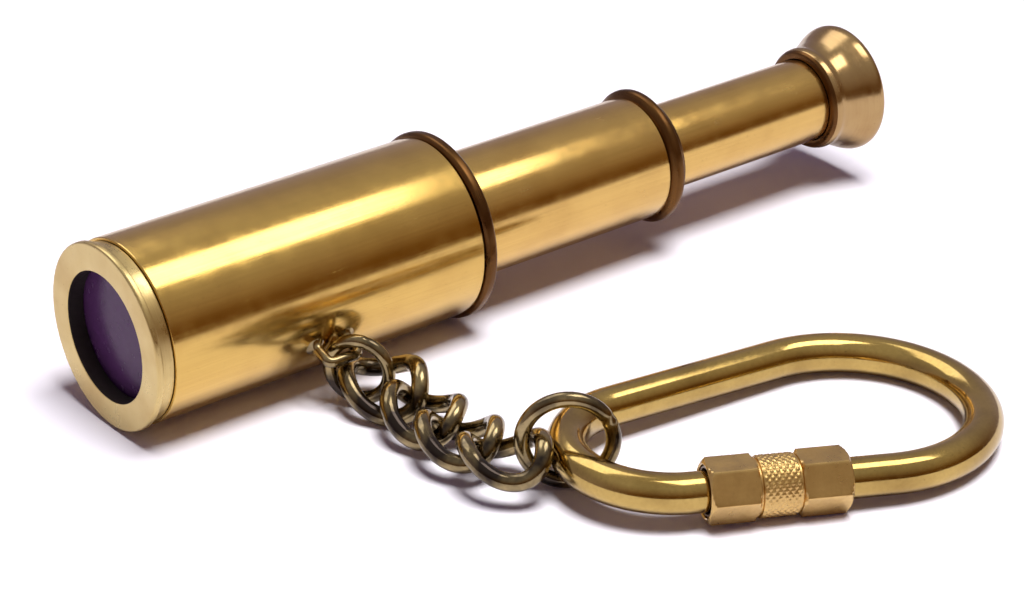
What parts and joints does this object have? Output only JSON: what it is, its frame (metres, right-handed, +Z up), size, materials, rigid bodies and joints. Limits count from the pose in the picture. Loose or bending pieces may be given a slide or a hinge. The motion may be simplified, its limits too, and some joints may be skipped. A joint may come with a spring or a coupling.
{
  "type": "kaleidoscope",
  "caption": "Pocket kaleidoscope shaped as a brass spyglass: turning object cell at the front, sliding draws, eyepiece lens, and a curb chain with a screw-lock key ring.",
  "frame": {"origin": "middle of the footprint, at the height of the surface that the object lies on", "axes": "+X along the tube from the object cell to the eyepiece, +Z up, chain and key ring on the -Y side"},
  "size_m": [0.1012, 0.0742, 0.0209],
  "materials": {
    "tube_brass": "polished brass with lengthwise polishing lines",
    "collar_brass": "darker turned brass, patina in the grooves",
    "draw_brass": "drawn brass tube, polished",
    "eyepiece_brass": "turned brass, polished",
    "inner_brass": "plain turned brass",
    "chain_brass": "antiqued brass wire, dark between the links",
    "ring_brass": "olive golden brass wire",
    "lock_brass": "machined brass with a knurled waist",
    "violet_glass": "dark violet glass",
    "clear_glass": "clear polished glass",
    "black_card": "matt black card",
    "blackened_brass": "blackened brass",
    "mirror_strip": "front-silvered mirror strip",
    "chip_1": "translucent coloured chip",
    "chip_2": "translucent coloured chip",
    "chip_3": "translucent coloured chip",
    "chip_4": "translucent coloured chip",
    "chip_5": "translucent coloured chip",
    "chip_6": "translucent coloured chip"
  },
  "bodies": {
    "tube": {"barrel": "tube_brass", "barrel_collar": "collar_brass", "snap_ring": "inner_brass", "mirror_mount": "inner_brass", "mirror_sleeve": "black_card", "mirror_1": "mirror_strip", "mirror_2": "mirror_strip", "mirror_3": "mirror_strip", "chain_lug": "chain_brass"},
    "cell": {"front_cap": "tube_brass", "front_window": "violet_glass", "cell_spacer": "black_card", "cell_window": "clear_glass", "cell_retainer": "inner_brass"},
    "chips": {"chip_1": "chip_1", "chip_2": "chip_2", "chip_3": "chip_3", "chip_4": "chip_4", "chip_5": "chip_5", "chip_6": "chip_6"},
    "large_draw": {"draw_tube_large": "draw_brass", "draw_stop_large": "inner_brass", "middle_collar": "collar_brass"},
    "small_draw": {"draw_tube_small": "draw_brass", "draw_stop_small": "inner_brass", "eyepiece": "eyepiece_brass", "eyepiece_lens": "clear_glass", "lens_retainer": "blackened_brass"},
    "jump_ring": {"jump_ring": "chain_brass"},
    "link_1": {"chain_link_1": "chain_brass"},
    "link_2": {"chain_link_2": "chain_brass"},
    "link_3": {"chain_link_3": "chain_brass"},
    "link_4": {"chain_link_4": "chain_brass"},
    "end_ring": {"end_ring": "chain_brass"},
    "key_ring": {"key_ring": "ring_brass"},
    "lock_thread": {"lock_bush": "lock_brass"},
    "lock": {"lock_sleeve": "lock_brass"}
  },
  "joints": [
    {"name": "cell_turn", "type": "hinge", "parent": "tube", "child": "cell", "pos_m": [-0.0496, 0.02668, 0.01045], "axis": [1, 0, 0], "continuous": true},
    {"name": "chips_tumble", "type": "hinge", "parent": "tube", "child": "chips", "pos_m": [-0.04605, 0.02668, 0.01045], "axis": [1, 0, 0], "range_deg": [-60, 60]},
    {"name": "large_draw_slide", "type": "slide", "parent": "tube", "child": "large_draw", "axis": [1, 0, 0], "range_m": [-0.026, 0]},
    {"name": "small_draw_slide", "type": "slide", "parent": "large_draw", "child": "small_draw", "axis": [1, 0, 0], "range_m": [-0.0224, 0]},
    {"name": "jump_ring_swing", "type": "hinge", "parent": "tube", "child": "jump_ring", "pos_m": [-0.0292, 0.0148, 0.00596], "axis": [1, 0, 0], "range_deg": [-20, 6]},
    {"name": "link_1_swing", "type": "hinge", "parent": "jump_ring", "child": "link_1", "pos_m": [-0.02832, 0.0157, 0.00422], "axis": [-0.7071, -0.7071, 0], "range_deg": [-40, 40]},
    {"name": "link_2_swing", "type": "hinge", "parent": "link_1", "child": "link_2", "pos_m": [-0.02559, 0.00709, 0.00292], "axis": [-0.8152, 0.068, -0.5752], "range_deg": [-40, 40]},
    {"name": "link_3_swing", "type": "hinge", "parent": "link_2", "child": "link_3", "pos_m": [-0.0279, 0.0021, 0.00254], "axis": [-0.9127, 0.3769, 0.1579], "range_deg": [-35, 35]},
    {"name": "link_4_swing", "type": "hinge", "parent": "link_3", "child": "link_4", "pos_m": [-0.02834, -0.00545, 0.00369], "axis": [-1, 0, 0], "range_deg": [-35, 35]},
    {"name": "end_ring_swing", "type": "hinge", "parent": "link_4", "child": "end_ring", "pos_m": [-0.02301, -0.01011, 0.00559], "axis": [-0.6018, -0.7218, 0.3419], "range_deg": [-25, 25]},
    {"name": "key_ring_lift", "type": "hinge", "parent": "end_ring", "child": "key_ring", "pos_m": [-0.02087, -0.01195, 0.00382], "axis": [-0.5, -0.866, 0], "range_deg": [-30, 30]},
    {"name": "lock_slide", "type": "slide", "parent": "key_ring", "child": "lock_thread", "axis": [0.9108, -0.4113, -0.0367], "range_m": [0, 0.007]},
    {"name": "lock_turn", "type": "hinge", "parent": "lock_thread", "child": "lock", "pos_m": [-0.01495, -0.02579, 0.00358], "axis": [0.9108, -0.4113, -0.0367], "range_deg": [0, 2520]}
  ],
  "couplings": [
    {"joint": "lock_slide", "follows": "lock_turn", "m_per_rad": 0.00015915}
  ]
}
